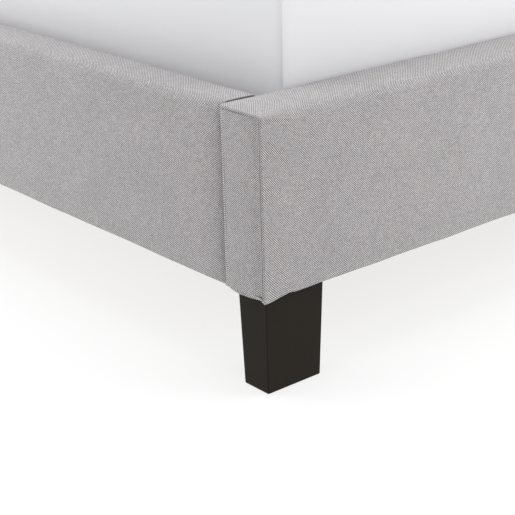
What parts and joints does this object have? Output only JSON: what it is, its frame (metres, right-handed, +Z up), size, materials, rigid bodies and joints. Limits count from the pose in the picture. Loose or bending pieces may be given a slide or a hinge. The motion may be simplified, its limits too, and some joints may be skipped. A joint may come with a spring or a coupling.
{
  "type": "sleigh bed",
  "caption": "Upholstered bed with box-shaped rails, a backward-scrolled headboard, tapered block legs, a sprung slat base and a mattress.",
  "frame": {"origin": "on the floor, below the centre of the bed's bounding box", "axes": "+X to the right as seen from the foot end, +Y from foot to head, +Z up; the corner that was seen is at -X and -Y"},
  "size_m": [1.748, 2.331, 1.0799],
  "materials": {
    "upholstery": "light grey flat-woven upholstery fabric with lighter and darker flecks",
    "foam": "cut polyurethane foam",
    "board": "raw board and softwood, hidden",
    "birch": "clear lacquered birch plywood",
    "leg_finish": "black-brown satin lacquer",
    "zinc_steel": "zinc plated",
    "black_steel": "black powder coat",
    "black_plastic": "matt black",
    "ticking": "off-white knitted ticking"
  },
  "bodies": {
    "frame": {"foot_rail_boards": "board", "foot_rail_battens": "board", "foot_rail_foam": "foam", "foot_rail_cover": "upholstery", "foot_rail_end_panel_left": "upholstery", "foot_rail_end_panel_right": "upholstery", "side_rail_boards_left": "board", "side_rail_boards_right": "board", "side_rail_battens_left": "board", "side_rail_battens_right": "board", "side_rail_foam_left": "foam", "side_rail_foam_right": "foam", "side_rail_cover_left": "upholstery", "side_rail_cover_right": "upholstery", "slat_ledge_left": "birch", "slat_ledge_right": "birch", "ledge_screws": "zinc_steel", "headboard_posts": "board", "headboard_ribs": "board", "headboard_cross_rails": "board", "headboard_skin": "birch", "headboard_foam": "foam", "headboard_cover": "upholstery", "headboard_end_panel_left": "upholstery", "headboard_end_panel_right": "upholstery", "corner_brackets": "zinc_steel", "bracket_bolts": "zinc_steel", "bracket_inserts": "zinc_steel", "bracket_screws": "zinc_steel", "front_leg_left": "leg_finish", "front_leg_right": "leg_finish", "rear_leg_left": "leg_finish", "rear_leg_right": "leg_finish", "leg_hanger_bolts": "zinc_steel", "leg_tee_nuts": "zinc_steel", "leg_glides": "black_plastic", "centre_beam": "black_steel", "beam_end_caps": "black_plastic", "beam_brackets": "black_steel", "beam_bracket_bolts": "zinc_steel", "beam_bracket_inserts": "zinc_steel", "centre_leg_posts": "black_steel", "centre_leg_plates": "black_steel", "centre_leg_screws": "zinc_steel", "centre_leg_plugs": "black_plastic", "slats_left": "birch", "slats_right": "birch", "slat_caps_left": "black_plastic", "slat_caps_right": "black_plastic", "slat_caps_centre": "black_plastic"},
    "mattress": {"mattress_cover": "ticking", "mattress_foam_layers": "foam", "mattress_edge_foam": "foam", "mattress_pocket_rows": "ticking", "mattress_border_wires": "zinc_steel"},
    "levelling_foot_1": {"levelling_foot_1": "black_plastic"},
    "levelling_foot_2": {"levelling_foot_2": "black_plastic"},
    "levelling_foot_3": {"levelling_foot_3": "black_plastic"}
  },
  "joints": [
    {"name": "mattress_lift", "type": "slide", "parent": "frame", "child": "mattress", "axis": [0, 0, 1], "range_m": [0, 0.45]},
    {"name": "levelling_foot_1_screw", "type": "slide", "parent": "frame", "child": "levelling_foot_1", "axis": [0, 0, -1], "range_m": [0, 0.02]},
    {"name": "levelling_foot_2_screw", "type": "slide", "parent": "frame", "child": "levelling_foot_2", "axis": [0, 0, -1], "range_m": [0, 0.02]},
    {"name": "levelling_foot_3_screw", "type": "slide", "parent": "frame", "child": "levelling_foot_3", "axis": [0, 0, -1], "range_m": [0, 0.02]}
  ]
}
